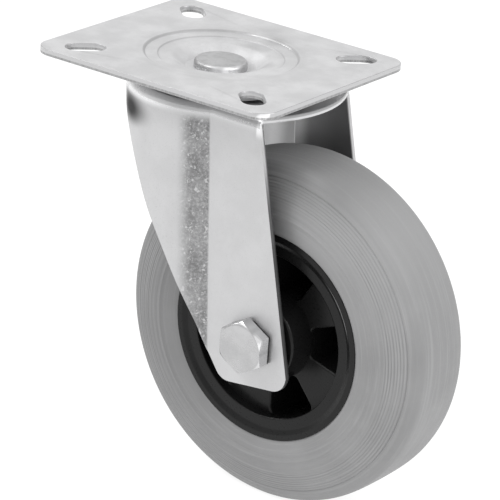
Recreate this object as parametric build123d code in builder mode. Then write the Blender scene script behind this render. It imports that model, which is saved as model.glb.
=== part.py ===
from build123d import *
import math
import os

os.makedirs("parts", exist_ok=True)

# Swivel castor with a top plate, all sizes in millimetres.
# The origin is the middle of the plate's top face, on the swivel axis.
# Z points up and the wheel trails towards +X. The axle lies along Y, bolt head at -Y.

# --- top plate ---
plate_length = 100.0
plate_width = 85.0
plate_thickness = 2.5
plate_corner_radius = 7.0
slot_width = 8.4
slot_length = 14.2
slot_angle = 45.0
slot_spacing_x = 72.0
slot_spacing_y = 61.0
race_land_outer = 27.2
race_land_inner = 22.4
race_land_depth = 0.8
centre_depth = 1.4
dish_outer = 17.0
dish_inner = 12.4
dish_depth = 5.0
dish_round = 3.0
step_run = 0.6
sheet_offset = 1.2
joint_overlap = 0.5
edge_break = 0.3

# --- kingpin and swivel bearing ---
kingpin_head_radius = 9.4
kingpin_head_height = 3.3
head_crown = 0.3
head_round = 1.5
tail_round = 1.4
kingpin_shank_radius = 6.0
kingpin_tail_radius = 8.5
kingpin_tail_height = 3.0
groove_clearance = 0.05
upper_ball_radius = 2.0
upper_circle_radius = 25.0
upper_ball_count = 32
upper_ball_z = -6.4
upper_cup_thickness = 1.2
upper_cup_bore = 22.9
upper_cup_inner = 27.9
upper_cup_outer = 29.2
upper_cup_bottom = -7.4
lower_ball_radius = 2.5
lower_circle_radius = 11.5
lower_ball_count = 12
lower_ball_z = -12.2
lower_cup_top = -14.4
lower_cup_thickness = 2.2
lower_cup_radius = 17.0
lower_lip_width = 2.2
lower_lip_height = 2.4
lower_cup_round = 1.6

# --- fork ---
sheet = 2.0
crown_top = -8.0
crown_radius = 31.6
crown_centre_x = -1.3
crown_rear_radius = 45.0
leg_outer = 26.4
leg_inner = leg_outer - sheet
fork_rake = 0.066
crease_radius = 2.0
bend_radius = 4.0
kingpin_clear_radius = 7.5
fork_drop = 100.0
legs_box = 90.0
side_reach = 40.0
foot_radius = 6.0
foot_level = -103.0
skirt_front = -40.0
skirt_front_z = -14.6
foot_outline = [(21.6, -97.0), (28.4, -106.6), (54.6, -103.6), (55.7, -98.0)]
trailing_edge_x = 36.7
crown_end_x = 60.0
skirt_edge = [
    (-30.0, -14.6),
    (-22.4, -21.4),
    (-16.1, -30.5),
    (-10.6, -40.2),
    (-5.0, -50.1),
    (1.8, -60.6),
    (9.3, -73.5),
    (17.0, -86.9),
    (21.6, -97.0),
]
skirt_edge_tangents = [(1.0, -0.5), (0.45, -1.0)]

# --- axle ---
trail = 39.7
axle_z = -89.3
bolt_radius = 5.0
bolt_head_flats = 17.0
bolt_head_height = 6.4
bolt_face_radius = 8.3
chamfer_taper = 60.0
bolt_tip = 3.0
bolt_tip_chamfer = 1.0
bolt_turn = 30.0
nut_turn = 12.0
nut_flats = 17.0
nut_height = 10.0
nut_collar_height = 3.2
nut_collar_radius = 7.5
nut_collar_round = 1.0
nylon_radius = 6.3
nylon_depth = 2.6
nylon_length = 2.0
axle_hole_radius = 5.05
tube_radius = 7.5
tube_bore_radius = 5.1

# --- wheel ---
tyre_radius = 62.5
rim_radius = 38.0
rim_half_width = 18.0
rim_inner_radius = 30.3
hub_length = 45.0
hub_radius = 15.2
hub_base_radius = 16.6
web_half_width = 13.0
web_floor = 2.6
sector_count = 5
sector_angle = 36.0
pocket_phase = 3.0
pocket_taper = 5.0
pocket_mouth_round = 0.9
pocket_mouth_curve = [(0.0, 1.0), (0.15, 0.5), (0.5, 0.15), (1.0, 0.0)]
pocket_corner = 2.0
rim_bead_inner = 34.2
rim_bead_outer = 36.0
rim_face_step = 0.9
rib_half_width = 8.0
rib_height = 3.0
rib_slope = 1.5
hub_round = 1.0
bead_round = 1.2
ring_round = 0.5
tread_half_width = 11.6
tread_edge_radius = 62.0
tread_round = 1.2
tyre_foot_gap = 0.3
wall_points = [
    (62.0, 11.6),
    (59.0, 13.7),
    (55.3, 16.0),
    (50.0, 18.2),
    (45.0, 18.75),
    (40.8, 18.3),
    (38.6, 17.8),
]

# --- roller bearing in the hub ---
roller_radius = 1.6
roller_length = 36.0
roller_count = 10
cage_length = 42.0
roller_play = 0.02
cage_play = 0.35
window_play = 0.2
window_width = 6.0
roller_chamfer = 0.25
roller_circle_radius = tube_radius + roller_radius + roller_play
hub_bore_radius = roller_circle_radius + roller_radius + roller_play
cage_inner_radius = tube_radius + cage_play
cage_outer_radius = hub_bore_radius - cage_play

wheel_plane = Plane(origin=(trail, 0, axle_z), x_dir=(1, 0, 0), z_dir=(0, -1, 0))
axle_axis = Axis((trail, 0, axle_z), (0, -1, 0))


def wheel_profile_plane():
    """Half-section plane through the axle: local X is radius, local Y is -Y."""
    return Plane(origin=(trail, 0, axle_z), x_dir=(1, 0, 0), z_dir=(0, 0, 1))


# ------------------------------------------------------------------ mounting plate
# A flat pressing with four slots and a stepped, dished middle that holds the kingpin.
plate_top_profile = [
    (dish_inner, -dish_depth),
    (dish_outer, -centre_depth),
    (race_land_inner - step_run, -centre_depth),
    (race_land_inner, -race_land_depth),
    (race_land_outer - step_run, -race_land_depth),
    (race_land_outer, 0.0),
]

with BuildPart() as mounting_plate:
    with BuildSketch(Plane.XY.offset(-plate_thickness)):
        RectangleRounded(plate_length, plate_width, plate_corner_radius)
        Circle(race_land_outer + joint_overlap / 2, mode=Mode.SUBTRACT)
        for side_x in (-1, 1):
            for side_y in (-1, 1):
                with Locations((side_x * slot_spacing_x / 2, side_y * slot_spacing_y / 2)):
                    SlotOverall(slot_length, slot_width, rotation=side_x * side_y * slot_angle,
                                mode=Mode.SUBTRACT)
    extrude(amount=plate_thickness)
    with BuildSketch(Plane.XZ):
        with BuildLine():
            Polyline(
                (kingpin_shank_radius, -dish_depth),
                *plate_top_profile,
                (race_land_outer + joint_overlap, 0.0),
                (race_land_outer + joint_overlap, -plate_thickness),
                (race_land_outer, -plate_thickness),
                (race_land_outer - step_run, -plate_thickness - race_land_depth),
                (race_land_inner, -plate_thickness - race_land_depth),
                (race_land_inner - step_run, -plate_thickness - centre_depth),
                (dish_outer + sheet_offset, -plate_thickness - centre_depth),
                (dish_inner + sheet_offset, -plate_thickness - dish_depth),
                (kingpin_shank_radius, -plate_thickness - dish_depth),
                close=True,
            )
        make_face()
    revolve(axis=Axis.Z)
    dish_rims = mounting_plate.edges().filter_by(GeomType.CIRCLE).filter_by(
        lambda e: dish_outer - edge_break < e.radius < dish_outer + sheet_offset + edge_break)
    fillet(dish_rims, radius=dish_round)
    top_rim = mounting_plate.edges().filter_by(Plane.XY).group_by(Axis.Z)[-1]
    chamfer(top_rim.sort_by(SortBy.LENGTH)[-1:], length=edge_break)
mounting_plate.part.label = "mounting_plate"

# ------------------------------------------------------------------ kingpin
# A rivet: domed head in the dish, shank through the bearing, tail upset over the lower cup.
kingpin_head_seat = -dish_depth
kingpin_tail_top = lower_cup_top - lower_cup_thickness
with BuildPart() as kingpin:
    with BuildSketch(Plane.XZ):
        with BuildLine():
            Polyline(
                (0.0, kingpin_head_seat + kingpin_head_height),
                (kingpin_head_radius, kingpin_head_seat + kingpin_head_height - head_crown),
                (kingpin_head_radius, kingpin_head_seat),
                (kingpin_shank_radius, kingpin_head_seat),
                (kingpin_shank_radius, kingpin_tail_top),
                (kingpin_tail_radius, kingpin_tail_top),
                (kingpin_tail_radius, kingpin_tail_top - kingpin_tail_height),
                (0.0, kingpin_tail_top - kingpin_tail_height),
                close=True,
            )
        make_face()
    revolve(axis=Axis.Z)
    head_rim = kingpin.edges().filter_by(GeomType.CIRCLE).group_by(Axis.Z)[-1]
    fillet(head_rim, radius=head_round)
    tail_rim = kingpin.edges().filter_by(GeomType.CIRCLE).group_by(Axis.Z)[0]
    fillet(tail_rim, radius=tail_round)
kingpin.part.label = "kingpin"

# ------------------------------------------------------------------ upper race cup
# An inverted cup pressed onto the plate's underside. Its skirt hides the upper balls.
land_underside = -plate_thickness - race_land_depth
with BuildPart() as upper_race_cup:
    with BuildSketch(Plane.XZ):
        with BuildLine():
            Polyline(
                (upper_cup_bore, land_underside),
                (race_land_outer - step_run, land_underside),
                (race_land_outer, -plate_thickness),
                (upper_cup_outer, -plate_thickness),
                (upper_cup_outer, upper_cup_bottom),
                (upper_cup_inner, upper_cup_bottom),
                (upper_cup_inner, land_underside - upper_cup_thickness),
                (upper_cup_bore, land_underside - upper_cup_thickness),
                close=True,
            )
        make_face()
        with Locations((upper_circle_radius, upper_ball_z)):
            Circle(upper_ball_radius + groove_clearance, mode=Mode.SUBTRACT)
    revolve(axis=Axis.Z)
upper_race_cup.part.label = "upper_race_cup"

# ------------------------------------------------------------------ lower race cup
with BuildPart() as lower_race_cup:
    with BuildSketch(Plane.XZ):
        with BuildLine():
            Polyline(
                (kingpin_shank_radius, lower_cup_top),
                (lower_cup_radius - lower_lip_width, lower_cup_top),
                (lower_cup_radius - lower_lip_width, lower_cup_top + lower_lip_height),
                (lower_cup_radius, lower_cup_top + lower_lip_height),
                (lower_cup_radius, lower_cup_top - lower_cup_thickness),
                (kingpin_shank_radius, lower_cup_top - lower_cup_thickness),
                close=True,
            )
        make_face()
        with Locations((lower_circle_radius, lower_ball_z)):
            Circle(lower_ball_radius + groove_clearance, mode=Mode.SUBTRACT)
    revolve(axis=Axis.Z)
    cup_foot = lower_race_cup.edges().filter_by(GeomType.CIRCLE).group_by(Axis.Z)[0]
    fillet(cup_foot.sort_by(SortBy.RADIUS)[-1:], radius=lower_cup_round)
lower_race_cup.part.label = "lower_race_cup"

# ------------------------------------------------------------------ bearing balls
with BuildPart() as upper_balls:
    with Locations((0, 0, upper_ball_z)):
        with PolarLocations(upper_circle_radius, upper_ball_count):
            Sphere(upper_ball_radius)
upper_balls.part.label = "upper_balls"

with BuildPart() as lower_balls:
    with Locations((0, 0, lower_ball_z)):
        with PolarLocations(lower_circle_radius, lower_ball_count):
            Sphere(lower_ball_radius)
lower_balls.part.label = "lower_balls"

# ------------------------------------------------------------------ swivel fork
# One pressing: a round crown, a curved front skirt that follows the crown, and two flat legs.
rake_direction = Vector(fork_rake, 0, -1).normalized()
rake_length = fork_drop / abs(rake_direction.Z)

with BuildPart() as swivel_fork:
    with BuildSketch(Plane.XY.offset(crown_top)):
        with Locations((crown_centre_x, 0)):
            Circle(crown_radius)
        with Locations((legs_box / 2, 0)):
            Rectangle(legs_box, 2 * leg_outer)
    extrude(amount=rake_length, dir=rake_direction)
    crease_x = crown_centre_x + math.sqrt(crown_radius**2 - leg_outer**2)
    outer_creases = swivel_fork.edges().filter_by(
        lambda e: e.length > 0.9 * fork_drop
        and crease_x < e.center().X < crease_x + fork_rake * fork_drop)
    fillet(outer_creases, radius=crease_radius)
    fillet(swivel_fork.faces().sort_by(Axis.Z)[-1].edges(), radius=bend_radius)
    with BuildSketch(Plane.XY.offset(crown_top - sheet)):
        with Locations((crown_centre_x, 0)):
            Circle(crown_radius - sheet)
        with Locations((legs_box / 2, 0)):
            Rectangle(legs_box, 2 * leg_inner)
    extrude(amount=rake_length, dir=rake_direction, mode=Mode.SUBTRACT)
    ceiling_edges = swivel_fork.edges().filter_by(
        lambda e: abs(e.center().Z - crown_top + sheet) < 0.01 and e.center().X < crown_end_x)
    fillet(ceiling_edges, radius=bend_radius - sheet)
    # side outline of the legs and of the skirt's cut edge
    with BuildSketch(Plane.XZ):
        with BuildLine():
            Polyline(
                *foot_outline,
                (trailing_edge_x, crown_top - sheet),
                (crown_end_x, crown_top - sheet),
                (crown_end_x, crown_top + 1.0),
                (skirt_front, crown_top + 1.0),
                (skirt_front, skirt_front_z),
                skirt_edge[0],
            )
            Spline(*skirt_edge, tangents=skirt_edge_tangents)
        make_face()
    extrude(amount=side_reach, both=True, mode=Mode.INTERSECT)
    # the crown's rear edge is an arc about the swivel axis
    with BuildSketch(Plane.XY.offset(crown_top + 1.0)):
        Rectangle(2 * legs_box, 2 * legs_box)
        Circle(crown_rear_radius, mode=Mode.SUBTRACT)
    extrude(amount=-(sheet + 1.0), mode=Mode.SUBTRACT)
    # rounded corners at the foot of each leg
    foot_corners = swivel_fork.edges().filter_by(Axis.Y).filter_by(
        lambda e: e.center().Z < foot_level)
    fillet(foot_corners, radius=foot_radius)
    # holes for the axle and the kingpin, and the two ball tracks
    with BuildSketch(wheel_plane):
        Circle(axle_hole_radius)
    extrude(amount=side_reach, both=True, mode=Mode.SUBTRACT)
    with BuildSketch(Plane.XY.offset(crown_top + 1.0)):
        Circle(kingpin_clear_radius)
    extrude(amount=-(sheet + 2.0), mode=Mode.SUBTRACT)
    with BuildSketch(Plane.XZ):
        with Locations((upper_circle_radius, upper_ball_z)):
            Circle(upper_ball_radius + groove_clearance)
        with Locations((lower_circle_radius, lower_ball_z)):
            Circle(lower_ball_radius + groove_clearance)
    revolve(axis=Axis.Z, mode=Mode.SUBTRACT)
swivel_fork.part.label = "swivel_fork"

# ------------------------------------------------------------------ axle bolt
with BuildPart() as axle_bolt:
    with BuildSketch(wheel_plane.offset(leg_outer)):
        RegularPolygon(bolt_head_flats / 2, 6, major_radius=False, rotation=bolt_turn)
    extrude(amount=bolt_head_height)
    with BuildSketch(wheel_plane.offset(leg_outer + bolt_head_height)):
        Circle(bolt_face_radius)
    extrude(amount=-bolt_head_height, taper=-chamfer_taper, mode=Mode.INTERSECT)
    with BuildSketch(wheel_plane.offset(leg_outer)):
        Circle(bolt_radius)
    extrude(amount=-(2 * leg_outer + nut_height + bolt_tip))
    chamfer(axle_bolt.edges().filter_by(GeomType.CIRCLE).sort_by(Axis.Y)[-1:], length=bolt_tip_chamfer)
axle_bolt.part.label = "axle_bolt"

# ------------------------------------------------------------------ lock nut and its nylon ring
nut_body_height = nut_height - nut_collar_height
nut_start = -leg_outer
with BuildPart() as axle_nut:
    with BuildSketch(wheel_plane.offset(nut_start)):
        RegularPolygon(nut_flats / 2, 6, major_radius=False, rotation=nut_turn)
    extrude(amount=-nut_body_height)
    with BuildSketch(wheel_plane.offset(nut_start - nut_body_height)):
        Circle(nut_collar_radius)
    extrude(amount=-nut_collar_height)
    collar_rim = axle_nut.edges().filter_by(GeomType.CIRCLE).sort_by(Axis.Y)[-1:]
    fillet(collar_rim, radius=nut_collar_round)
    with BuildSketch(wheel_plane.offset(nut_start)):
        Circle(bolt_radius)
    extrude(amount=-nut_height, mode=Mode.SUBTRACT)
    with BuildSketch(wheel_plane.offset(nut_start - nut_height + nylon_depth)):
        Circle(nylon_radius)
    extrude(amount=-nylon_length, mode=Mode.SUBTRACT)
axle_nut.part.label = "axle_nut"

with BuildPart() as nut_nylon_ring:
    with BuildSketch(wheel_plane.offset(nut_start - nut_height + nylon_depth)):
        Circle(nylon_radius)
        Circle(bolt_radius, mode=Mode.SUBTRACT)
    extrude(amount=-nylon_length)
nut_nylon_ring.part.label = "nut_nylon_ring"

# ------------------------------------------------------------------ axle tube, clamped by the legs
with BuildPart() as axle_tube:
    with BuildSketch(wheel_plane.offset(-leg_inner)):
        Circle(tube_radius)
        Circle(tube_bore_radius, mode=Mode.SUBTRACT)
    extrude(amount=2 * leg_inner)
axle_tube.part.label = "axle_tube"

# ------------------------------------------------------------------ roller cage
with BuildPart() as roller_cage:
    with BuildSketch(wheel_plane.offset(-cage_length / 2)):
        Circle(cage_outer_radius)
        Circle(cage_inner_radius, mode=Mode.SUBTRACT)
    extrude(amount=cage_length)
    with BuildSketch(wheel_plane.offset(-roller_length / 2 - window_play)):
        with PolarLocations(roller_circle_radius, roller_count):
            Rectangle(window_width, 2 * roller_radius + window_play)
    extrude(amount=roller_length + 2 * window_play, mode=Mode.SUBTRACT)
roller_cage.part.label = "roller_cage"

# ------------------------------------------------------------------ rollers
rollers = []
for number in range(roller_count):
    turn = math.radians(number * 360.0 / roller_count)
    centre_x = roller_circle_radius * math.cos(turn)
    centre_z = roller_circle_radius * math.sin(turn)
    with BuildPart() as roller:
        with BuildSketch(wheel_plane.offset(-roller_length / 2)):
            with Locations((centre_x, centre_z)):
                Circle(roller_radius)
        extrude(amount=roller_length)
        chamfer(roller.edges().filter_by(GeomType.CIRCLE), length=roller_chamfer)
    roller.part.label = f"roller_{number + 1:02d}"
    rollers.append(roller)

# ------------------------------------------------------------------ wheel centre
# A plastic centre: hub, rim and a recessed web with five tapered pockets from each side.
wedge_half = math.radians(sector_angle / 2)
wedge_reach = 60.0
pocket_depth = 2 * web_half_width - web_floor
floor_inset = pocket_depth * math.tan(math.radians(pocket_taper))
pocket_sections = [
    (down * pocket_mouth_round, -out * pocket_mouth_round) for down, out in pocket_mouth_curve
]
pocket_sections.append((pocket_depth, floor_inset))

with BuildPart() as pocket:
    for depth, inset in pocket_sections:
        wedge_apex = inset / math.sin(wedge_half)
        wedge_side = wedge_reach * math.tan(wedge_half)
        with BuildSketch(Plane.XY.offset(depth)) as outline:
            Polygon(
                (wedge_apex, 0.0),
                (wedge_apex + wedge_reach, wedge_side),
                (wedge_apex + wedge_reach, -wedge_side),
                align=None,
            )
            Circle(rim_inner_radius - max(inset, 0.0) / 2, mode=Mode.INTERSECT)
            Circle(hub_base_radius + max(inset, 0.0) / 2, mode=Mode.SUBTRACT)
            fillet(outline.vertices(), radius=pocket_corner - max(inset, 0.0) / 2)
    loft(ruled=True)

with BuildPart() as wheel_centre:
    with BuildSketch(wheel_profile_plane()):
        with BuildLine():
            Polyline(
                (hub_bore_radius, -hub_length / 2),
                (hub_radius, -hub_length / 2),
                (hub_base_radius, -web_half_width),
                (rim_inner_radius, -web_half_width),
                (rim_inner_radius, -rim_half_width + rim_face_step),
                (rim_bead_inner, -rim_half_width + rim_face_step),
                (rim_bead_outer, -rim_half_width),
                (rim_radius, -rim_half_width),
                (rim_radius, -rib_half_width - rib_slope),
                (rim_radius + rib_height, -rib_half_width),
                (rim_radius + rib_height, rib_half_width),
                (rim_radius, rib_half_width + rib_slope),
                (rim_radius, rim_half_width),
                (rim_bead_outer, rim_half_width),
                (rim_bead_inner, rim_half_width - rim_face_step),
                (rim_inner_radius, rim_half_width - rim_face_step),
                (rim_inner_radius, web_half_width),
                (hub_base_radius, web_half_width),
                (hub_radius, hub_length / 2),
                (hub_bore_radius, hub_length / 2),
                close=True,
            )
        make_face()
    revolve(axis=axle_axis)
    for face_side, phase in ((1, pocket_phase), (-1, pocket_phase + sector_angle)):
        mouth_plane = Plane(
            origin=(trail, -face_side * web_half_width, axle_z),
            x_dir=(1, 0, 0),
            z_dir=(0, face_side, 0),
        )
        with Locations(mouth_plane):
            with PolarLocations(0.0, sector_count, start_angle=-face_side * phase):
                add(pocket.part, mode=Mode.SUBTRACT)
    hub_rims = wheel_centre.edges().filter_by(GeomType.CIRCLE).filter_by(
        lambda e: abs(abs(e.center().Y) - hub_length / 2) < 0.01 and e.radius > hub_bore_radius + 1)
    fillet(hub_rims, radius=hub_round)
    bead_rims = wheel_centre.edges().filter_by(GeomType.CIRCLE).filter_by(
        lambda e: abs(e.radius - rim_bead_outer) < 0.01 or abs(e.radius - rim_bead_inner) < 0.01)
    fillet(bead_rims, radius=bead_round)
    ring_rims = wheel_centre.edges().filter_by(GeomType.CIRCLE).filter_by(
        lambda e: abs(e.radius - rim_inner_radius) < 0.01
        and abs(abs(e.center().Y) - rim_half_width + rim_face_step) < 0.01)
    fillet(ring_rims, radius=ring_round)
wheel_centre.part.label = "wheel_centre"

# ------------------------------------------------------------------ tyre
# Solid rubber, moulded on: a slightly crowned tread, sloping walls and a flat foot on the rim.
with BuildPart() as tyre:
    with BuildSketch(wheel_profile_plane()):
        with BuildLine():
            ThreePointArc(
                (tread_edge_radius, -tread_half_width),
                (tyre_radius, 0.0),
                (tread_edge_radius, tread_half_width),
            )
            Spline(*[(r, y) for r, y in wall_points])
            Spline(*[(r, -y) for r, y in wall_points])
            Polyline(
                (wall_points[-1][0], -wall_points[-1][1]),
                (rim_radius, -rim_half_width + tyre_foot_gap),
                (rim_radius, -rib_half_width - rib_slope),
                (rim_radius + rib_height, -rib_half_width),
                (rim_radius + rib_height, rib_half_width),
                (rim_radius, rib_half_width + rib_slope),
                (rim_radius, rim_half_width - tyre_foot_gap),
                (wall_points[-1][0], wall_points[-1][1]),
            )
        make_face()
    revolve(axis=axle_axis)
    tread_edges = tyre.edges().filter_by(GeomType.CIRCLE).filter_by(
        lambda e: abs(e.radius - tread_edge_radius) < 0.01)
    fillet(tread_edges, radius=tread_round)
tyre.part.label = "tyre"

pieces = [
    mounting_plate,
    kingpin,
    upper_race_cup,
    lower_race_cup,
    upper_balls,
    lower_balls,
    swivel_fork,
    axle_bolt,
    axle_nut,
    nut_nylon_ring,
    axle_tube,
    roller_cage,
    *rollers,
    wheel_centre,
    tyre,
]

for piece in pieces:
    export_step(piece.part, f"parts/{piece.part.label}.step")
    print(piece.part.label, round(piece.part.volume, 1), len(piece.part.solids()), piece.part.is_valid)
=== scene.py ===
import math

import bmesh
import bpy
from mathutils import Matrix, Vector


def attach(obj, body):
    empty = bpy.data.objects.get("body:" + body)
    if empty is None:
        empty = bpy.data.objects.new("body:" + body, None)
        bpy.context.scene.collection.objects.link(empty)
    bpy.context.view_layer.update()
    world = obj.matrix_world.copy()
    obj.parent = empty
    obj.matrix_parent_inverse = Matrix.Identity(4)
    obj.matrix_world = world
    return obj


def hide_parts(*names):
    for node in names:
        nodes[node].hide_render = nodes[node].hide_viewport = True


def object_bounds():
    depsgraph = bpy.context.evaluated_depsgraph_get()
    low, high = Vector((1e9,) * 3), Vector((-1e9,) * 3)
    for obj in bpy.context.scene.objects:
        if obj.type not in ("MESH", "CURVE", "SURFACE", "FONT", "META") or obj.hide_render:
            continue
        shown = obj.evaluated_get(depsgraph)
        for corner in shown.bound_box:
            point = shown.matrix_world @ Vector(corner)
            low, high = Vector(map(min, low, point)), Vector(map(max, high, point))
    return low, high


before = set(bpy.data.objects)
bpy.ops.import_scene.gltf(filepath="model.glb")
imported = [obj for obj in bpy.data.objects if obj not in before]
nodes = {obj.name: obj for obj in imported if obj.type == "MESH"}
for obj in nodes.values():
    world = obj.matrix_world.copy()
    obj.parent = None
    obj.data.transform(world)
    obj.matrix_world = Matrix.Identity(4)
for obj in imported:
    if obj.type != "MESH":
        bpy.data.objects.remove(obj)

cad_low, cad_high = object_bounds()
scene = bpy.context.scene
collection = scene.collection

MM = 0.001

# driving sizes in millimetres, as in the solids
trail = 39.7
axle_z = -89.3
leg_outer = 26.4
bolt_radius = 5.0
bolt_head_flats = 17.0
bolt_head_height = 6.4
bolt_face_radius = 8.3
bolt_end = 39.4
washer_face = 0.6
washer_face_radius = 7.3
thread_pitch = 1.5
thread_depth = 0.85
thread_start = 20.0
first_groove = 50.6
groove_pitch = 0.95

# marks over the finish: rings of painted shade (radius, softness, depth), dark patches (x, y, reach, depth)
# most of the marks below are painted shade, highlights and reflections
step_rings = [(22.1, 0.35, 0.8), (26.9, 0.4, 0.7), (28.8, 1.6, 0.18)]
# a painted dark reflection at the shoulder: its middle, stretch and reach
shoulder_reflection = (-17.8, -26.4, -17.8)
shoulder_stretch = (0.36, 1.0, 1.0)
shoulder_reach = (1.5, 7.5)
# the painted dark reflection in the near leg's bend, as a speckled strip raked with the skirt
rake_from_z = -8.0
strip_rake = 0.066
strip_soft_side = (4.5, 11.0)
strip_sharp_side = (15.5, 16.3)
strip_top = (-15.5, -11.5)
edge_streaks = (1800.0, 1800.0, 200.0)
strip_clouds = (160.0, 0.0, 110.0)
# the camera's right-hand direction, along which the kingpin's side carries painted shade and a highlight
kingpin_across = (0.819, 0.574)
# a painted highlight on the wheel centre's rim lies between these radii
rim_highlight_band = (35.25, 35.6)
# painted shade and light of the tyre's fine grooves lie between these radii
grooved_wall = (50.0, 57.4)
plate_dark_patches = [
    (1.5, 17.0, 8.0, 0.3), (-6.5, -14.4, 4.5, 0.2), (14.9, 4.9, 5.0, 0.3),
    (3.5, 26.5, 9.0, 0.3), (-3.2, 34.1, 7.0, 0.2),
]

# the tyre's bare wall as (radius, half width)
tyre_wall = [
    (38.0, 17.6), (38.9, 17.95), (41.0, 18.35), (45.0, 18.7), (50.0, 18.1),
    (55.3, 15.9), (59.0, 13.6), (61.3, 12.0), (62.05, 10.9), (62.35, 7.5), (62.48, 0.0),
]

# Grey levels of the marks laid over the plain finishes. Those called painted below stand for
# highlights and shade seen from the camera. They are fixed to the pieces and don't follow the lights.
white_glint = 1.0
bright_glint = 0.98
highlight_grey = 0.95
painted_light_grey = 0.9
rubbed_rim = 0.5
mid_grey = 0.3
torn_steel = 0.2
faint_shade = 0.12
deep_shade = 0.08
near_black = 0.02


# ---------------------------------------------------------------- node helpers
class Shader:
    """A material under construction: one Principled shader and short helpers for its nodes."""

    def __init__(self, name):
        self.material = bpy.data.materials.new(name)
        self.material.use_nodes = True
        self.tree = self.material.node_tree
        self.tree.nodes.clear()
        output = self.add("ShaderNodeOutputMaterial")
        self.principled = self.add("ShaderNodeBsdfPrincipled")
        self.link(self.principled.outputs["BSDF"], output.inputs["Surface"])
        own_frame = self.add("ShaderNodeTexCoord").outputs
        self.coordinates, self.normal = own_frame["Object"], own_frame["Normal"]

    def add(self, kind, **settings):
        node = self.tree.nodes.new(kind)
        for key, value in settings.items():
            setattr(node, key, value)
        return node

    def link(self, start, end):
        self.tree.links.new(start, end)

    def set(self, **values):
        for key, value in values.items():
            self.principled.inputs[key.replace("_", " ")].default_value = value

    def drive(self, key, value):
        self.link(value, self.principled.inputs[key])

    def feed(self, socket, value):
        if hasattr(value, "is_output"):
            self.link(value, socket)
        else:
            socket.default_value = value

    def math(self, operation, a, b=0.5):
        node = self.add("ShaderNodeMath", operation=operation)
        for socket, value in zip(node.inputs, (a, b)):
            self.feed(socket, value)
        return node.outputs[0]

    def product(self, value, *factors):
        for factor in factors:
            value = self.math("MULTIPLY", value, factor)
        return value

    def length(self, a, b):
        return self.math("SQRT", self.math("ADD", self.product(a, a), self.product(b, b)))

    def axes(self, vector=None):
        node = self.add("ShaderNodeSeparateXYZ")
        self.link(vector if vector is not None else self.coordinates, node.inputs[0])
        return node.outputs

    def vector(self, x, y, z):
        node = self.add("ShaderNodeCombineXYZ")
        for socket, value in zip(node.inputs, (x, y, z)):
            self.feed(socket, value)
        return node.outputs[0]

    def noise(self, scale, detail=4.0, roughness=0.5, vector=None):
        node = self.add("ShaderNodeTexNoise")
        self.link(vector if vector is not None else self.coordinates, node.inputs["Vector"])
        node.inputs["Scale"].default_value = scale
        node.inputs["Detail"].default_value = detail
        node.inputs["Roughness"].default_value = roughness
        return node.outputs["Fac"]

    def mix(self, factor, a, b, blend="MIX"):
        node = self.add("ShaderNodeMix", data_type="RGBA", blend_type=blend)
        self.feed(node.inputs["Factor"], factor)
        self.feed(node.inputs["A"], a)
        self.feed(node.inputs["B"], b)
        return node.outputs["Result"]

    def shade(self, tone, amount, level):
        """Lay a grey level over the tone by the given amount."""
        return self.mix(amount, tone, grey(level))

    def map_range(self, value, low, high, to_low=0.0, to_high=1.0):
        node = self.add("ShaderNodeMapRange", interpolation_type="SMOOTHSTEP")
        for socket, number in zip(node.inputs, (value, low, high, to_low, to_high)):
            self.feed(socket, number)
        return node.outputs["Result"]

    def fade(self, place, low, high, to_low=0.0, to_high=1.0):
        """A mapped range between two places in millimetres."""
        return self.map_range(place, low * MM, high * MM, to_low, to_high)

    def window(self, value, low, high, soft, unit=MM):
        """One between low and high, fading to nought over soft on either side."""
        rise = self.map_range(value, (low - soft) * unit, (low + soft) * unit)
        fall = self.map_range(value, (high - soft) * unit, (high + soft) * unit, 1.0, 0.0)
        return self.product(rise, fall)

    def bump(self, height, strength, distance):
        node = self.add("ShaderNodeBump")
        node.inputs["Strength"].default_value = strength
        node.inputs["Distance"].default_value = distance
        self.link(height, node.inputs["Height"])
        self.drive("Normal", node.outputs["Normal"])

    def about_axle(self):
        """Distance from the axle and its two parts along X and Z, in metres."""
        x, _, z = self.axes()
        dx = self.math("SUBTRACT", x, trail * MM)
        dz = self.math("SUBTRACT", z, axle_z * MM)
        return self.length(dx, dz), dx, dz


def grey(level):
    return (level, level, level * 1.01, 1.0)


# ---------------------------------------------------------------- materials
def zinc_base(name, light, dark):
    """Zinc plating: faint cloudy mottling, fine grain and small specks."""
    shader = Shader(name)
    clouds = shader.noise(70.0, 6.0, 0.62)
    specks = shader.noise(2200.0, 3.0, 0.7)
    tone = shader.mix(shader.map_range(clouds, 0.35, 0.68), grey(dark), grey(light))
    speck_mask = shader.map_range(specks, 0.28, 0.45, 0.86, 1.0)
    tone = shader.mix(1.0, tone, shader.vector(speck_mask, speck_mask, speck_mask), "MULTIPLY")
    height = shader.math("ADD", shader.noise(900.0, 3.0), shader.product(clouds, 3.0))
    shader.bump(height, 0.08, 0.0004)
    return shader, tone, clouds


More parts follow.
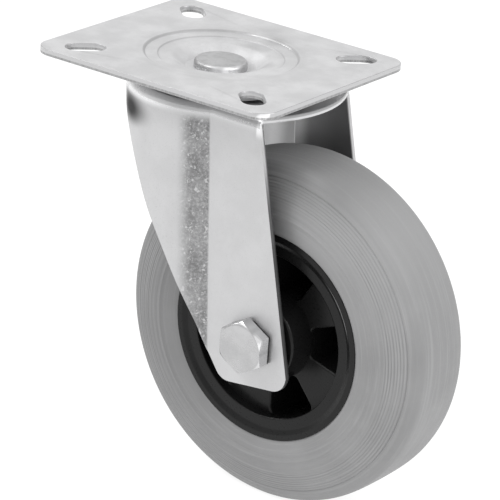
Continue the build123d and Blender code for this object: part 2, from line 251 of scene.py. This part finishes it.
def zinc_plate_material():
    """A bright face with faint press rings and darker round patches, and a sheared edge with a dull, torn
    lower band. One corner's highlight and the shade underneath, on the press rings and on rounded rims are
    painted."""
    shader, tone, clouds = zinc_base("zinc_plate", 0.84, 0.74)
    shader.drive("Roughness", shader.map_range(clouds, 0.3, 0.7, 0.34, 0.48))
    shader.set(Metallic=0.62)
    x, y, z = shader.axes()
    normal_x, normal_y, normal_z = shader.axes(shader.normal)
    from_pin = shader.length(x, y)

    # painted shade on rounded rims, on the outer ring and outside the rings
    tilted = shader.map_range(normal_z, 0.93, 0.99, 1.0, 0.0)
    rounding = shader.product(shader.map_range(normal_z, 0.4, 0.6), tilted)
    outside_rings = shader.fade(from_pin, 34.0, 36.0, 0.0, 0.7)
    outer_ring = shader.product(shader.window(from_pin, 25.5, 33.0, 0.5), 0.3)
    rim_shade = shader.math("ADD", outside_rings, outer_ring)
    tone = shader.shade(tone, shader.product(rounding, rim_shade), mid_grey)

    # the edge, a painted highlight on its corner over the trailing leg, and painted shade underneath
    edge = shader.map_range(shader.math("ABSOLUTE", normal_z), 0.2, 0.5, 1.0, 0.0)
    tone = shader.shade(tone, shader.product(edge, 0.8), rubbed_rim)
    faces_corner = shader.map_range(shader.product(normal_x, normal_y), -0.46, -0.36, 0.9, 0.0)
    near_corner = shader.fade(shader.math("SUBTRACT", x, y), 82.0, 84.0)
    tone = shader.shade(tone, shader.product(faces_corner, near_corner), bright_glint)
    tone = shader.shade(tone, shader.map_range(normal_z, -0.8, -0.4, 0.75, 0.0), faint_shade)

    # painted shade along the steps of the press rings
    for ring, soft, depth in step_rings:
        line = shader.window(from_pin, ring - 0.1, ring + 0.1, soft)
        tone = shader.shade(tone, shader.product(line, depth), mid_grey)
    # darker round patches on the face
    for at_x, at_y, reach, depth in plate_dark_patches:
        aside = shader.math("SUBTRACT", x, at_x * MM)
        along = shader.math("SUBTRACT", y, at_y * MM)
        away = shader.length(aside, along)
        tone = shader.shade(tone, shader.fade(away, 0.0, reach, depth, 0.0), mid_grey)

    torn = shader.fade(z, -1.7, -1.4, 1.0, 0.0)
    across_edge = shader.vector(*(shader.product(axis, by) for axis, by in zip((x, y, z), edge_streaks)))
    streaks = shader.map_range(shader.noise(1.0, 3.0, 0.7, across_edge), 0.3, 0.7, 0.35, 0.8)
    shader.drive("Base Color", shader.shade(tone, shader.product(edge, torn, streaks), torn_steel))
    return shader.material


def bend_reflection_strip(shader, x, y, z):
    """How much painted dark reflection the near leg's bend takes: a speckled strip that leans with the
    skirt.
    """
    drop = shader.math("SUBTRACT", rake_from_z * MM, z)
    raked = shader.math("SUBTRACT", x, shader.product(drop, strip_rake))
    sharp_side = shader.fade(raked, *strip_sharp_side, 1.0, 0.0)
    strip = shader.product(shader.fade(raked, *strip_soft_side), sharp_side)
    outside = shader.fade(y, -26.0, -25.4, 1.0, 0.0)
    under_bend = shader.fade(z, *strip_top, 1.0, 0.0)
    speckle = shader.map_range(shader.noise(1000.0, 5.0, 0.8), 0.42, 0.68, 1.0, 0.45)
    cloud_place = shader.vector(*(shader.product(axis, by) for axis, by in zip((x, y, z), strip_clouds)))
    patches = shader.map_range(shader.noise(1.0, 4.0, 0.6, cloud_place), 0.35, 0.65, 0.72, 1.0)
    glints = shader.map_range(shader.noise(620.0, 2.0, 0.6), 0.6, 0.66, 1.0, 0.15)
    return shader.product(strip, outside, under_bend, speckle, patches, glints)


def zinc_fork_material():
    """Zinc with a speckled strip and a shoulder spot, both painted dark reflections. The highlights
    along the bend and on the near leg's top corner, and the shade on the inner faces, are painted."""
    shader, tone, clouds = zinc_base("zinc_fork", 0.62, 0.56)
    x, y, z = shader.axes()
    normal_x, normal_y, _ = shader.axes(shader.normal)

    # the speckled strip of painted dark reflection in the near leg's bend
    strip_tone = shader.mix(shader.fade(z, -85.0, -30.0), grey(0.2), grey(0.165))
    tone = shader.mix(bend_reflection_strip(shader, x, y, z), tone, strip_tone)

    # a painted dark reflection at the shoulder, drawn out along X, on rougher, less metallic zinc
    offsets = [
        shader.product(shader.math("SUBTRACT", axis, at * MM), stretch)
        for axis, at, stretch in zip((x, y, z), shoulder_reflection, shoulder_stretch)]
    away = shader.add("ShaderNodeVectorMath", operation="LENGTH")
    shader.link(shader.vector(*offsets), away.inputs[0])
    spot = shader.fade(away.outputs["Value"], *shoulder_reach, 1.0, 0.0)
    tone = shader.shade(tone, shader.product(spot, 0.95), near_black)

    # the bend under the crown is smoother, with a highlight painted along it, most on the leading side
    bend = shader.product(shader.fade(z, -14.0, -11.5), shader.fade(z, -8.6, -8.2, 1.0, 0.0))
    bend_highlight = shader.fade(x, -10.0, 8.0, 0.85, 0.2)
    tone = shader.shade(tone, shader.product(bend, bend_highlight), highlight_grey)
    burnished = shader.fade(z, -13.0, -11.0, 0.0, 0.2)
    roughness = shader.math("ADD", shader.map_range(clouds, 0.3, 0.7, 0.34, 0.5), shader.product(spot, 0.5))
    shader.drive("Roughness", shader.math("SUBTRACT", roughness, burnished))
    shader.drive("Metallic", shader.product(shader.math("SUBTRACT", 1.0, spot), 0.6))

    # painted shade on the near leg's trailing cut edge
    near_side = shader.fade(y, -1.0, 1.0, 1.0, 0.0)
    lower = shader.fade(z, -42.0, -24.0, 1.0, 0.0)
    trailing = shader.product(shader.map_range(normal_x, 0.6, 0.9), near_side, lower)
    tone = shader.shade(tone, shader.product(trailing, 0.85), faint_shade)

    # painted shade on the inner faces of the legs, and of the skirt on the nut's side
    below = shader.fade(z, -11.0, -10.2, 1.0, 0.0)
    inside = shader.fade(shader.math("ABSOLUTE", y), 24.7, 25.3, 1.0, 0.0)
    bend_shade = shader.fade(x, 18.0, 23.5, 0.15, 0.67)
    leg_shade = shader.math("ADD", bend_shade, shader.fade(x, 22.0, 36.0, 0.0, 0.17))
    tone = shader.shade(tone, shader.product(inside, below, leg_shade), deep_shade)
    skirt = shader.product(shader.map_range(normal_y, -0.3, -0.1, 1.0, 0.0), shader.fade(y, 24.7, 24.9))
    skirt_shade = shader.fade(x, 3.0, 13.0, 0.0, 0.55)
    tone = shader.shade(tone, shader.product(skirt, below, skirt_shade), deep_shade)

    # painted shade on the crown's top and its cut edge, and a painted highlight on the near leg's corner
    on_crown = shader.product(shader.fade(z, -8.4, -8.1, 0.0, 0.85), shader.fade(y, -24.0, -18.0))
    tone = shader.shade(tone, shader.product(on_crown, shader.fade(x, 17.0, 23.0, 1.0, 0.2)), deep_shade)
    cut_top = shader.product(shader.fade(z, -9.3, -8.9), shader.map_range(normal_x, 0.5, 0.7, 0.0, 0.6))
    tone = shader.shade(tone, cut_top, 0.15)
    glare = shader.product(shader.fade(x, 35.4, 36.1), shader.fade(z, -16.0, -12.5))
    outer_face = shader.fade(y, -25.6, -24.8, 0.9, 0.0)
    tone = shader.shade(tone, shader.product(glare, outer_face), bright_glint)
    shader.drive("Base Color", tone)
    return shader.material


def bright_material():
    """Bright zinc for the bolt and the nut. A highlight, lighter sides and a dark root are painted on
    the head's trailing side."""
    level = 0.56
    shader, tone, clouds = zinc_base("bright_bolt", level, level * 0.82)
    shader.drive("Roughness", shader.map_range(clouds, 0.3, 0.7, 0.2, 0.34))
    shader.set(Metallic=0.85)
    radius, dx, dz = shader.about_axle()
    y = shader.axes()[1]
    head_root = -(leg_outer + 1.2)

    outer = shader.fade(shader.math("ABSOLUTE", y), leg_outer + 4.4, leg_outer + 5.0)
    # a painted highlight on the chamfer near the head's trailing corner
    chamfer = shader.product(outer, shader.fade(radius, 8.25, 8.45), shader.fade(dx, 4.5, 6.5))
    tone = shader.shade(tone, shader.product(chamfer, shader.window(dz, 2.0, 7.0, 1.2)), highlight_grey)
    # painted light on the head's trailing sides
    sides = shader.product(shader.window(y, -(leg_outer + 6.0), head_root, 0.15), shader.fade(dx, 0.0, 4.0))
    tone = shader.shade(tone, shader.product(sides, shader.fade(radius, 8.4, 8.6, 0.0, 0.45)), painted_light_grey)
    # painted shade at the root of the head
    root = shader.product(shader.window(y, head_root, -leg_outer, 0.15), shader.fade(dx, 0.0, 2.0))
    tone = shader.shade(tone, shader.product(root, shader.fade(radius, 8.0, 8.3)), near_black)
    shader.drive("Base Color", tone)
    return shader.material


def kingpin_material():
    """A riveted head with hammer marks. Its side carries painted shade, a painted highlight and painted
    shade again, in that order from left to right for the camera."""
    shader, tone, clouds = zinc_base("kingpin_steel", 0.82, 0.68)
    shader.drive("Roughness", shader.map_range(clouds, 0.3, 0.7, 0.34, 0.46))
    shader.set(Metallic=0.7)
    smears = shader.map_range(shader.noise(330.0, 5.0, 0.6), 0.4, 0.66, 0.0, 0.3)
    tone = shader.shade(tone, smears, 0.26)

    normal_x, normal_y, normal_z = shader.axes(shader.normal)
    # painted shade on both flanks of the side, and a painted highlight between them
    side = shader.map_range(normal_z, 0.75, 0.95, 1.0, 0.0)
    across_x, across_y = kingpin_across
    around = shader.math("ADD", shader.product(normal_x, across_x), shader.product(normal_y, across_y))
    tone = shader.shade(tone, shader.product(side, shader.map_range(around, -0.45, -0.05, 0.75, 0.0)), 0.26)
    tone = shader.shade(tone, shader.product(side, shader.map_range(around, 0.45, 0.85, 0.0, 0.6)), 0.3)
    glint = shader.product(side, shader.window(around, 0.08, 0.3, 0.08, 1.0), 0.9)
    tone = shader.shade(tone, glint, white_glint)
    crown = shader.map_range(normal_z, 0.8, 0.98, 0.0, 0.4)
    shader.drive("Base Color", shader.shade(tone, crown, 0.42))
    return shader.material


def rubber_material():
    """Grey moulded rubber: rubbed rings, cloudy tone, a fine matt grain and patchy painted shade and
    light along the grooves. Painted shade lies on its leading side; the upper trailing side is lighter."""
    shader = Shader("grey_rubber")
    radius, dx, dz = shader.about_axle()
    x, y, z = shader.axes()
    ring_place = shader.math("ADD", shader.product(radius, 1300.0), shader.product(y, 900.0))
    cosine = shader.product(shader.math("DIVIDE", dx, radius), 1.6)
    sine = shader.product(shader.math("DIVIDE", dz, radius), 1.6)
    rings = shader.noise(1.0, 5.0, 0.65, shader.vector(cosine, sine, ring_place))
    clouds = shader.noise(45.0, 6.0, 0.6)
    fine = shader.noise(1700.0, 4.0, 0.6)
    tone = shader.mix(shader.map_range(clouds, 0.3, 0.7), grey(0.262), grey(0.298))
    tone = shader.shade(tone, shader.map_range(rings, 0.48, 0.72, 0.0, 0.5), 0.39)
    # painted shade on the leading side
    tone = shader.shade(tone, shader.fade(x, -20.0, 85.0, 0.55, 0.0), 0.16)
    # lighter towards the upper trailing side
    lighter_upper_trailing = shader.product(shader.fade(z, -85.0, -40.0), shader.fade(x, 20.0, 60.0), 0.6)
    tone = shader.shade(tone, lighter_upper_trailing, 0.37)

    # patchy painted shade in the fine grooves, and painted light on the ridges between them
    turns = shader.math("DIVIDE", shader.math("SUBTRACT", radius, first_groove * MM), groove_pitch * MM)
    wave = shader.math("COSINE", shader.product(turns, math.tau))
    patches = shader.map_range(shader.noise(38.0, 3.0, 0.6), 0.4, 0.62, 0.3, 1.0)
    grooved = shader.product(shader.window(radius, *grooved_wall, 0.5), patches)
    tone = shader.shade(tone, shader.product(grooved, shader.map_range(wave, 0.2, 1.0, 0.0, 0.25)), 0.12)
    tone = shader.shade(tone, shader.product(grooved, shader.map_range(wave, -1.0, -0.2, 0.2, 0.0)), 0.55)
    shader.drive("Base Color", tone)
    shader.drive("Roughness", shader.map_range(fine, 0.3, 0.7, 0.5, 0.66))
    shader.bump(shader.math("ADD", fine, shader.product(rings, 0.8)), 0.12, 0.0002)
    return shader.material


def plastic_material(name, level, roughness, specular=0.5, with_rim_highlight=False):
    """Moulded plastic. Where asked, one arc on the rim of the wheel centre gets a painted highlight."""
    shader = Shader(name)
    shader.set(Specular_IOR_Level=specular)
    fine = shader.noise(900.0, 4.0, 0.6)
    clouds = shader.noise(60.0, 4.0)
    tone = shader.mix(clouds, grey(level * 0.8), grey(level * 1.2))
    if with_rim_highlight:
        # a painted highlight along one arc of the rim
        radius, dx, dz = shader.about_axle()
        sine = shader.math("DIVIDE", dz, radius)
        arc = shader.product(shader.window(sine, 0.32, 0.7, 0.12, 1.0), shader.fade(dx, 0.0, 1.0))
        tone = shader.shade(tone, shader.product(shader.window(radius, *rim_highlight_band, 0.15), arc), mid_grey)
    shader.drive("Base Color", tone)
    shader.drive("Roughness", shader.map_range(fine, 0.3, 0.7, roughness, roughness + 0.1))
    shader.bump(shader.math("ADD", fine, clouds), 0.08, 0.0002)
    return shader.material


def steel_material(name, level, roughness, trailing_level=None):
    """Plain steel. Where a trailing level is given, the trailing side is painted to it as painted light."""
    shader = Shader(name)
    fine = shader.noise(800.0, 4.0, 0.6)
    tone = shader.mix(shader.noise(120.0, 4.0), grey(level * 0.85), grey(level * 1.1))
    if trailing_level is not None:
        tone = shader.shade(tone, shader.fade(shader.axes()[0], 14.0, 22.0), trailing_level)
    shader.drive("Base Color", tone)
    shader.drive("Roughness", shader.map_range(fine, 0.3, 0.7, roughness, roughness + 0.1))
    shader.set(Metallic=1.0)
    shader.bump(fine, 0.08, 0.0002)
    return shader.material


zinc_plate = zinc_plate_material()
zinc_fork = zinc_fork_material()
bright = bright_material()
kingpin_steel = kingpin_material()
# the race's trailing side is painted lighter, as painted light
race = steel_material("race_steel", 0.1, 0.45, 0.8)
bearing = steel_material("bearing_steel", 0.7, 0.12)
tube = steel_material("tube_steel", 0.5, 0.35)
black = plastic_material("black_plastic", 0.009, 0.26, 0.24, with_rim_highlight=True)
cage = plastic_material("cage_plastic", 0.6, 0.4)
nylon = plastic_material("nylon", 0.7, 0.35)
grey_rubber = rubber_material()

finishes = {
    "mounting_plate": zinc_plate,
    "swivel_fork": zinc_fork,
    "kingpin": kingpin_steel,
    "upper_race_cup": race,
    "lower_race_cup": race,
    "axle_bolt": bright,
    "axle_nut": bright,
    "nut_nylon_ring": nylon,
    "axle_tube": tube,
    "roller_cage": cage,
    "wheel_centre": black,
    "tyre": grey_rubber,
}
for node_name, node in nodes.items():
    for slot in node.material_slots:
        slot.material = finishes.get(node_name, bearing)


def soften_edges(node_name, width, segments=2):
    """Weld the solid's faces together and round their sharp edges a little."""
    weld = nodes[node_name].modifiers.new("weld", "WELD")
    weld.merge_threshold = 0.002 * MM
    bevel = nodes[node_name].modifiers.new("edges", "BEVEL")
    bevel.width = width * MM
    bevel.segments = segments
    bevel.limit_method = "ANGLE"
    bevel.angle_limit = math.radians(35.0)
    bevel.harden_normals = True


for node_name, width in (("mounting_plate", 0.22), ("swivel_fork", 0.2), ("axle_nut", 0.2)):
    soften_edges(node_name, width)


# ---------------------------------------------------------------- mesh helpers
def smooth_curve(points, steps):
    """Points along a Catmull-Rom curve through the given points."""
    knots = [Vector(point) for point in (points[0], *points, points[-1])]
    curve = []
    for i in range(1, len(knots) - 2):
        before, start, end, after = knots[i - 1:i + 3]
        for step in range(steps):
            t = step / steps
            curve.append(0.5 * (2 * start + (end - before) * t
                                + (2 * before - 5 * start + 4 * end - after) * t * t
                                + (3 * start - before - 3 * end + after) * t**3))
    curve.append(knots[-2])
    return curve


def ring_mesh(name, rows, turns, closed, material, smooth_angle):
    """Skin a grid about the axle. rows(turn_angle) gives (radius, y) pairs in millimetres."""
    mesh = bpy.data.meshes.new(name)
    shape = bmesh.new()
    grid = []
    for turn in range(turns):
        angle = 2 * math.pi * turn / turns
        column = []
        for radius, y in rows(angle):
            x = trail + radius * math.cos(angle)
            z = axle_z + radius * math.sin(angle)
            column.append(shape.verts.new((x * MM, y * MM, z * MM)))
        grid.append(column)
    count = len(grid[0])
    for turn in range(turns):
        here, there = grid[turn], grid[(turn + 1) % turns]
        for i in range(count if closed else count - 1):
            j = (i + 1) % count
            shape.faces.new((here[i], here[j], there[j], there[i]))
    bmesh.ops.remove_doubles(shape, verts=shape.verts, dist=0.0005 * MM)
    bmesh.ops.recalc_face_normals(shape, faces=shape.faces)
    shape.to_mesh(mesh)
    shape.free()
    mesh.materials.append(material)
    mesh.shade_smooth()
    mesh.set_sharp_from_angle(angle=math.radians(smooth_angle))
    piece = bpy.data.objects.new(name, mesh)
    collection.objects.link(piece)
    return piece


# ---------------------------------------------------------------- tyre
wave_radii = (44.2, 46.9, 49.1, 51.4, 53.9, 56.5, 59.1)
wave_depth = 0.13
wave_half_width = 0.9
groove_radii = [first_groove + groove_pitch * i for i in range(7)]
groove_depth = 0.13
groove_half_width = 0.28
ridge_radius = 45.6
ridge_height = 0.22
ridge_half_width = 0.7
border_radius = 57.4
border_depth = 0.3
border_half_width = 0.35
tread_from_radius = 60.0
plain_tread_half_width = 9.0
detailed_wall = (42.5, 60.2)
wall_spacing = 0.16
plain_stride = 6
tyre_turns = 224
bolt_turns = 96


def dent(distance, half_width):
    """A smooth dent profile, one in its middle and nought at its half width."""
    if abs(distance) >= half_width:
        return 0.0
    return 0.5 + 0.5 * math.cos(math.pi * distance / half_width)


def resample(curve, spacing):
    """Walk along a curve in even steps."""
    points = [curve[0]]
    left = spacing
    for start, end in zip(curve, curve[1:]):
        span = (end - start).length
        while span >= left:
            start = start + (end - start) * (left / span)
            span -= left
            points.append(start)
            left = spacing
        left -= span
    points.append(curve[-1])
    return points


def tyre_section():
    """Half section from the rim to the middle of the tread, with moulded rings on the wall."""
    curve = resample(smooth_curve(tyre_wall, 12), wall_spacing)
    section = []
    for i, point in enumerate(curve):
        tangent = curve[min(i + 1, len(curve) - 1)] - curve[max(i - 1, 0)]
        outward = Vector((-tangent.y, tangent.x)).normalized()
        if outward.y < 0 and point.x < tread_from_radius:
            outward = -outward
        offset = ridge_height * dent(point.x - ridge_radius, ridge_half_width)
        offset -= border_depth * dent(point.x - border_radius, border_half_width)
        for groove in groove_radii:
            offset -= groove_depth * dent(point.x - groove, groove_half_width)
        for wave in wave_radii:
            offset -= wave_depth * dent(point.x - wave, wave_half_width)
        if point.y < plain_tread_half_width:
            offset = 0.0
        section.append(point + outward * offset)
    keep = [section[0]]
    for i in range(1, len(section) - 1):
        detailed = detailed_wall[0] < section[i].x < detailed_wall[1]
        if detailed or i % plain_stride == 0:
            keep.append(section[i])
    keep.append(section[-1])
    return keep


half = tyre_section()
section = [(p.x, -p.y) for p in half] + [(p.x, p.y) for p in reversed(half[:-1])]
tyre = ring_mesh("rubber_tyre", lambda angle: section, tyre_turns, True, grey_rubber, 50.0)
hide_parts("tyre")
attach(tyre, "wheel")


# ---------------------------------------------------------------- axle bolt with its real thread
seat_gap = 0.02
fillet = 0.2
tip_chamfer = 1.0
steps_per_turn = 8


def bolt_rows(angle):
    """One column of the bolt: chamfered hexagon head, plain shank and cut thread."""
    from_flat = (math.degrees(angle) + 30.0) % 60.0 - 30.0
    corner = bolt_head_flats / 2 / math.cos(math.radians(from_flat))
    face = -(leg_outer + bolt_head_height)
    chamfer = face + max(0.0, corner - bolt_face_radius) * math.tan(math.radians(30.0))
    seat = -leg_outer - seat_gap
    rows = [(0.0, face), (0.35 * bolt_face_radius, face), (bolt_face_radius - 0.5, face),
            (bolt_face_radius - 0.2, face + 0.03), (bolt_face_radius, face + 0.1),
            (corner - 0.12, chamfer + 0.05), (corner, chamfer + 0.2),
            (corner, -leg_outer - washer_face), (washer_face_radius, -leg_outer - washer_face),
            (washer_face_radius, seat), (bolt_radius + fillet, seat),
            (bolt_radius, -leg_outer + fillet), (bolt_radius, thread_start)]
    length = bolt_end - thread_start
    count = int(length / thread_pitch * steps_per_turn)
    for i in range(1, count + 1):
        y = thread_start + length * i / count
        phase = (y / thread_pitch + angle / (2 * math.pi)) % 1.0
        depth = thread_depth * min(1.0, max(0.0, 1.35 * (1.0 - abs(2.0 * phase - 1.0)) - 0.15))
        fade_in = min(1.0, (y - thread_start) / thread_pitch)
        tip = max(0.0, y - (bolt_end - tip_chamfer))
        rows.append((bolt_radius - max(depth * fade_in, tip), y))
    rows.append((0.0, bolt_end))
    return rows


bolt = ring_mesh("threaded_axle_bolt", bolt_rows, bolt_turns, False, bright, 28.0)
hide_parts("axle_bolt")
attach(bolt, "fork")

# ---------------------------------------------------------------- camera
azimuth, elevation, roll = math.radians(35.0), math.radians(21.5), math.radians(4.3)
back = Vector((
    math.sin(azimuth) * math.cos(elevation),
    -math.cos(azimuth) * math.cos(elevation),
    math.sin(elevation),
))
level_right = Vector((math.cos(azimuth), math.sin(azimuth), 0.0))
level_up = back.cross(level_right)
right = level_right * math.cos(roll) + level_up * math.sin(roll)
up = level_up * math.cos(roll) - level_right * math.sin(roll)
camera = bpy.data.objects.new("camera", bpy.data.cameras.new("camera"))
collection.objects.link(camera)
camera.data.lens = 231.9
camera.data.sensor_width = 36.0
camera.data.clip_start, camera.data.clip_end = 0.05, 50.0
distance, shift_right, shift_down = 1.118, 0.0099, 0.0683
place = back * distance + right * shift_right - up * shift_down
camera.matrix_world = Matrix((
    (right.x, up.x, back.x, place.x),
    (right.y, up.y, back.y, place.y),
    (right.z, up.z, back.z, place.z),
    (0.0, 0.0, 0.0, 1.0),
))
scene.camera = camera

# ---------------------------------------------------------------- stage
floor_reach = 6.0
floor_gap = 0.0002
floor_level = 0.26
floor_glow = 0.84
sky_strength = 0.66
floor_z = cad_low.z - floor_gap
corners = [(x * floor_reach, y * floor_reach) for x, y in ((-1, -1), (1, -1), (1, 1), (-1, 1))]
floor_mesh = bpy.data.meshes.new("floor")
floor_mesh.from_pydata([(x, y, floor_z) for x, y in corners], [], [(0, 1, 2, 3)])
floor = bpy.data.objects.new("floor", floor_mesh)
collection.objects.link(floor)
floor_shader = Shader("floor_paper")
floor_shader.set(
    Base_Color=(floor_level, floor_level, floor_level, 1.0), Roughness=0.9, Specular_IOR_Level=0.0,
    Emission_Color=(1.0, 1.0, 1.0, 1.0), Emission_Strength=floor_glow)
floor_mesh.materials.append(floor_shader.material)

world = bpy.data.worlds.new("studio")
scene.world = world
world.use_nodes = True
sky = world.node_tree.nodes["Background"].inputs
sky["Color"].default_value = (1.0, 1.0, 1.0, 1.0)
sky["Strength"].default_value = sky_strength


def area_light(name, position, target, size, watts):
    data = bpy.data.lights.new(name, "AREA")
    data.shape = "RECTANGLE"
    data.size, data.size_y = size
    data.energy = watts
    light = bpy.data.objects.new(name, data)
    collection.objects.link(light)
    light.location = position
    light.rotation_mode = "QUATERNION"
    light.rotation_quaternion = (Vector(position) - Vector(target)).to_track_quat("Z", "Y")


middle = (0.02, 0.0, -0.07)
area_light("key", (-1.1, -1.4, 1.9), middle, (0.7, 0.7), 25.0)
area_light("left", (-1.5, -0.25, 0.9), middle, (0.3, 0.3), 4.0)
area_light("side", (1.4, 0.1, 0.8), middle, (0.8, 0.8), 9.0)
scene.view_settings.view_transform = "Standard"
